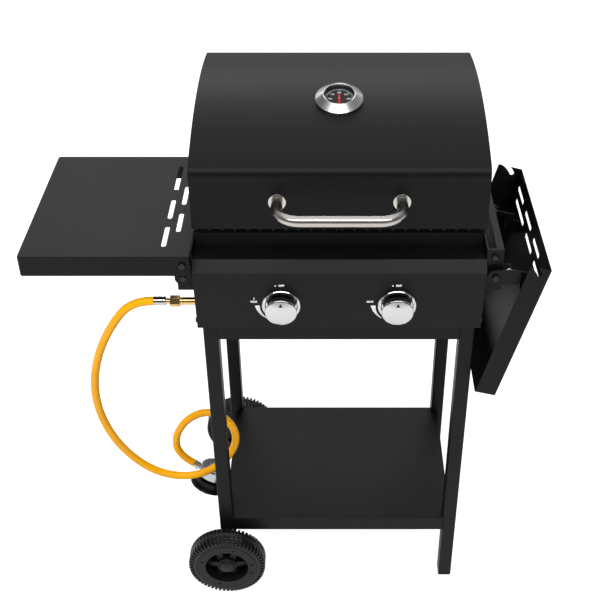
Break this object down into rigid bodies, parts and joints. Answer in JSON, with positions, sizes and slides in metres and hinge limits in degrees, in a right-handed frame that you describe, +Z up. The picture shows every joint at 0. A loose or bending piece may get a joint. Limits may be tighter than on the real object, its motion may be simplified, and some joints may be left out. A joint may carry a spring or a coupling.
{
  "type": "gas barbecue grill",
  "caption": "Free-standing gas barbecue on a wheeled cart: hinged lid with thermometer, control panel with knobs, folding side tables, bottom shelf and a gas hose with regulator.",
  "frame": {"origin": "middle of the footprint box at ground level, the hose left out", "axes": "+X to the right of someone standing at the knobs, +Y from the front to the back, +Z up"},
  "size_m": [0.8432, 0.453, 0.978],
  "materials": {
    "black_coat": "satin black powder coat",
    "box_coat": "heat-resistant matt black paint",
    "stainless": "satin stainless steel",
    "chrome": "bright chrome",
    "zinc": "zinc-plated, slightly blue",
    "brass": "machined brass",
    "black_plastic": "matt black",
    "tyre": "black moulded",
    "hose": "glossy orange-yellow",
    "cast_iron": "black enamel",
    "black_screws": "black oxide",
    "dial": "black with white marks",
    "needle": "red",
    "glass": "clear",
    "ceramic": "white glazed ceramic"
  },
  "bodies": {
    "cart": {"leg_front_left": "black_coat", "leg_rear_left": "black_coat", "leg_front_right": "black_coat", "leg_rear_right": "black_coat", "leg_feet": "black_plastic", "frame_side_rails": "black_coat", "frame_cross_rails": "black_coat", "bottom_shelf": "black_coat", "firebox": "box_coat", "burner_left": "stainless", "burner_right": "stainless", "flame_tamers": "box_coat", "cooking_grates": "cast_iron", "igniter_electrode": "ceramic", "drip_tray_runners": "zinc", "control_panel": "black_coat", "valve_left": "brass", "valve_right": "brass", "knob_bezels": "chrome", "gas_manifold": "zinc", "gas_inlet_fitting": "brass", "side_rail_left": "black_coat", "side_rail_right": "black_coat", "table_hinge_brackets": "black_coat", "table_hinge_pins": "zinc", "frame_screws": "black_screws", "lid_hinge_lower": "black_coat", "wheel_axle": "zinc", "regulator_body": "zinc", "regulator_hand_wheel": "black_plastic", "gas_hose": "hose", "hose_ferrule": "zinc", "hose_end_ferrule": "zinc"},
    "lid": {"lid_skin": "black_coat", "lid_end_panels": "black_coat", "lid_handle": "stainless", "lid_handle_fixings": "stainless", "thermometer_case": "stainless", "thermometer_nut": "stainless", "thermometer_dial": "dial", "thermometer_glass": "glass", "lid_hinge_upper": "black_coat"},
    "needle": {"thermometer_needle": "needle"},
    "valve_stem_left": {"valve_stem_left": "zinc"},
    "valve_stem_right": {"valve_stem_right": "zinc"},
    "knob_left": {"knob_left": "black_plastic", "knob_cap_left": "chrome"},
    "knob_right": {"knob_right": "black_plastic", "knob_cap_right": "chrome"},
    "wheel_front": {"wheel_front_tyre": "tyre", "wheel_front_hub": "black_plastic", "wheel_front_cap": "black_plastic"},
    "wheel_rear": {"wheel_rear_tyre": "tyre", "wheel_rear_hub": "black_plastic", "wheel_rear_cap": "black_plastic"},
    "side_table_left": {"side_table_left": "black_coat"},
    "side_table_right": {"side_table_right": "black_coat"},
    "latch_left": {"latch_left": "black_coat"},
    "latch_right": {"latch_right": "black_coat"},
    "drip_tray": {"drip_tray": "box_coat"}
  },
  "joints": [
    {"name": "lid_hinge", "type": "hinge", "parent": "cart", "child": "lid", "pos_m": [0.0854, 0.22202, 0.804], "axis": [-1, 0, 0], "range_deg": [0, 90]},
    {"name": "thermometer_needle_turn", "type": "hinge", "parent": "lid", "child": "needle", "pos_m": [0.0854, 0.00552, 0.95707], "axis": [0, -0.2419, 0.9703], "range_deg": [-120, 120], "stiffness_Nm_per_rad": 0.0005},
    {"name": "knob_left_push", "type": "slide", "parent": "cart", "child": "valve_stem_left", "axis": [0, 0.9967, 0.0816], "range_m": [0, 0.003], "stiffness_N_per_m": 1500},
    {"name": "knob_left_turn", "type": "hinge", "parent": "valve_stem_left", "child": "knob_left", "pos_m": [-0.0091, -0.19149, 0.687], "axis": [0, -0.9967, -0.0816], "range_deg": [0, 150]},
    {"name": "knob_right_push", "type": "slide", "parent": "cart", "child": "valve_stem_right", "axis": [0, 0.9967, 0.0816], "range_m": [0, 0.003], "stiffness_N_per_m": 1500},
    {"name": "knob_right_turn", "type": "hinge", "parent": "valve_stem_right", "child": "knob_right", "pos_m": [0.17991, -0.19149, 0.687], "axis": [0, -0.9967, -0.0816], "range_deg": [0, 150]},
    {"name": "wheel_front_spin", "type": "hinge", "parent": "cart", "child": "wheel_front", "pos_m": [-0.13059, -0.20098, 0.0745], "axis": [0, -1, 0], "continuous": true},
    {"name": "wheel_rear_spin", "type": "hinge", "parent": "cart", "child": "wheel_rear", "pos_m": [-0.13059, 0.18652, 0.0745], "axis": [0, -1, 0], "continuous": true},
    {"name": "table_left_fold", "type": "hinge", "parent": "cart", "child": "side_table_left", "pos_m": [-0.19059, 0.00252, 0.738], "axis": [0, -1, 0], "range_deg": [0, 50]},
    {"name": "table_right_fold", "type": "hinge", "parent": "cart", "child": "side_table_right", "pos_m": [0.3614, 0.00252, 0.738], "axis": [0, -1, 0], "range_deg": [0, 104.4]},
    {"name": "latch_left_turn", "type": "hinge", "parent": "cart", "child": "latch_left", "pos_m": [-0.16509, 0.00252, 0.742], "axis": [0, -1, 0], "range_deg": [0, 43.3]},
    {"name": "latch_right_turn", "type": "hinge", "parent": "cart", "child": "latch_right", "pos_m": [0.33591, 0.00252, 0.742], "axis": [0, -1, 0], "range_deg": [0, 90.2]},
    {"name": "drip_tray_slide", "type": "slide", "parent": "cart", "child": "drip_tray", "axis": [0, 1, 0], "range_m": [0, 0.3]}
  ],
  "couplings": [
    {"joint": "latch_left_turn", "follows": "table_left_fold", "ratio": 0.86207},
    {"joint": "latch_right_turn", "follows": "table_right_fold", "ratio": 0.86207}
  ]
}
